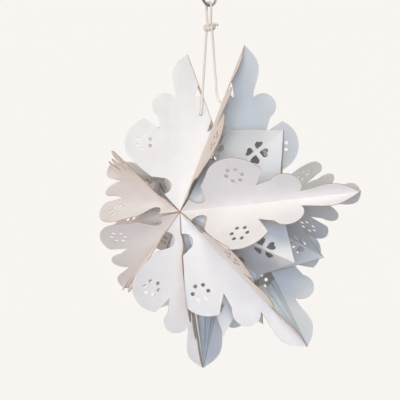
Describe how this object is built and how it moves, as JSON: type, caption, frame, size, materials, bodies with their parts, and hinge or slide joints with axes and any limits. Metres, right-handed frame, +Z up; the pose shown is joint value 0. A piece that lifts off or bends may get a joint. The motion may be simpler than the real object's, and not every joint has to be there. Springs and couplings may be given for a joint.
{
  "type": "origami pendant lamp",
  "caption": "Hanging folded-paper star lamp with oak-leaf pods, clover-cut panels between them, a small light unit inside, a knotted cord and a ceiling hook.",
  "frame": {"origin": "centre of the hook's collar where it meets the ceiling", "axes": "+Z up out of the ceiling face along the hook's screw; Y along the star's axis, its front apex towards -Y; +X to the right seen from the front"},
  "size_m": [0.2918, 0.1412, 0.3864],
  "materials": {
    "leaf_card": "matte white card",
    "panel_card": "matte white card",
    "cord": "off-white cotton cord",
    "cradle_card": "plain pale board",
    "lamp_shell": "fine matte",
    "lamp_dome": "frosted",
    "board": "satin white mask",
    "chips": "yellow phosphor",
    "cells": "brushed",
    "switch": "fine matte",
    "hook": "zinc plated"
  },
  "bodies": {
    "ceiling": {"ceiling_hook": "hook"},
    "hanger": {"cord_loop": "cord"},
    "star": {"front_leaf_1": "leaf_card", "front_leaf_2": "leaf_card", "front_leaf_3": "leaf_card", "front_leaf_4": "leaf_card", "front_leaf_5": "leaf_card", "front_leaf_6": "leaf_card", "front_leaf_7": "leaf_card", "rear_leaf_1": "leaf_card", "rear_leaf_2": "leaf_card", "rear_leaf_3": "leaf_card", "rear_leaf_4": "leaf_card", "rear_leaf_5": "leaf_card", "rear_leaf_6": "leaf_card", "rear_leaf_7": "leaf_card", "front_panel_1": "panel_card", "front_panel_3": "panel_card", "front_panel_4": "panel_card", "front_panel_5": "panel_card", "front_panel_6": "panel_card", "front_panel_7": "panel_card", "rear_panel_1": "panel_card", "rear_panel_3": "panel_card", "rear_panel_4": "panel_card", "rear_panel_5": "panel_card", "rear_panel_6": "panel_card", "rear_panel_7": "panel_card", "knot": "cord", "stopper_knot_2": "cord", "stopper_knot_3": "cord", "cord_strand_2": "cord", "cord_strand_3": "cord", "lamp_cradle": "cradle_card", "lamp_housing": "lamp_shell", "lamp_dome": "lamp_dome", "lamp_board": "board", "lamp_chips": "chips", "cell_tray": "lamp_shell", "coin_cells": "cells"},
    "door": {"battery_door": "lamp_shell"},
    "switch": {"slide_switch": "switch"}
  },
  "joints": [
    {"name": "swing", "type": "hinge", "parent": "ceiling", "child": "hanger", "pos_m": [0, 0, -0.0315], "axis": [0, 1, 0], "range_deg": [-20, 20]},
    {"name": "turn", "type": "hinge", "parent": "hanger", "child": "star", "pos_m": [0, 0, -0.0482], "axis": [0, 0, 1], "range_deg": [-90, 90]},
    {"name": "door_turn", "type": "hinge", "parent": "star", "child": "door", "pos_m": [0, 0, -0.219], "axis": [0, 1, 0], "range_deg": [0, 30]},
    {"name": "switch_slide", "type": "slide", "parent": "star", "child": "switch", "axis": [1, 0, 0], "range_m": [0, 0.003]}
  ]
}
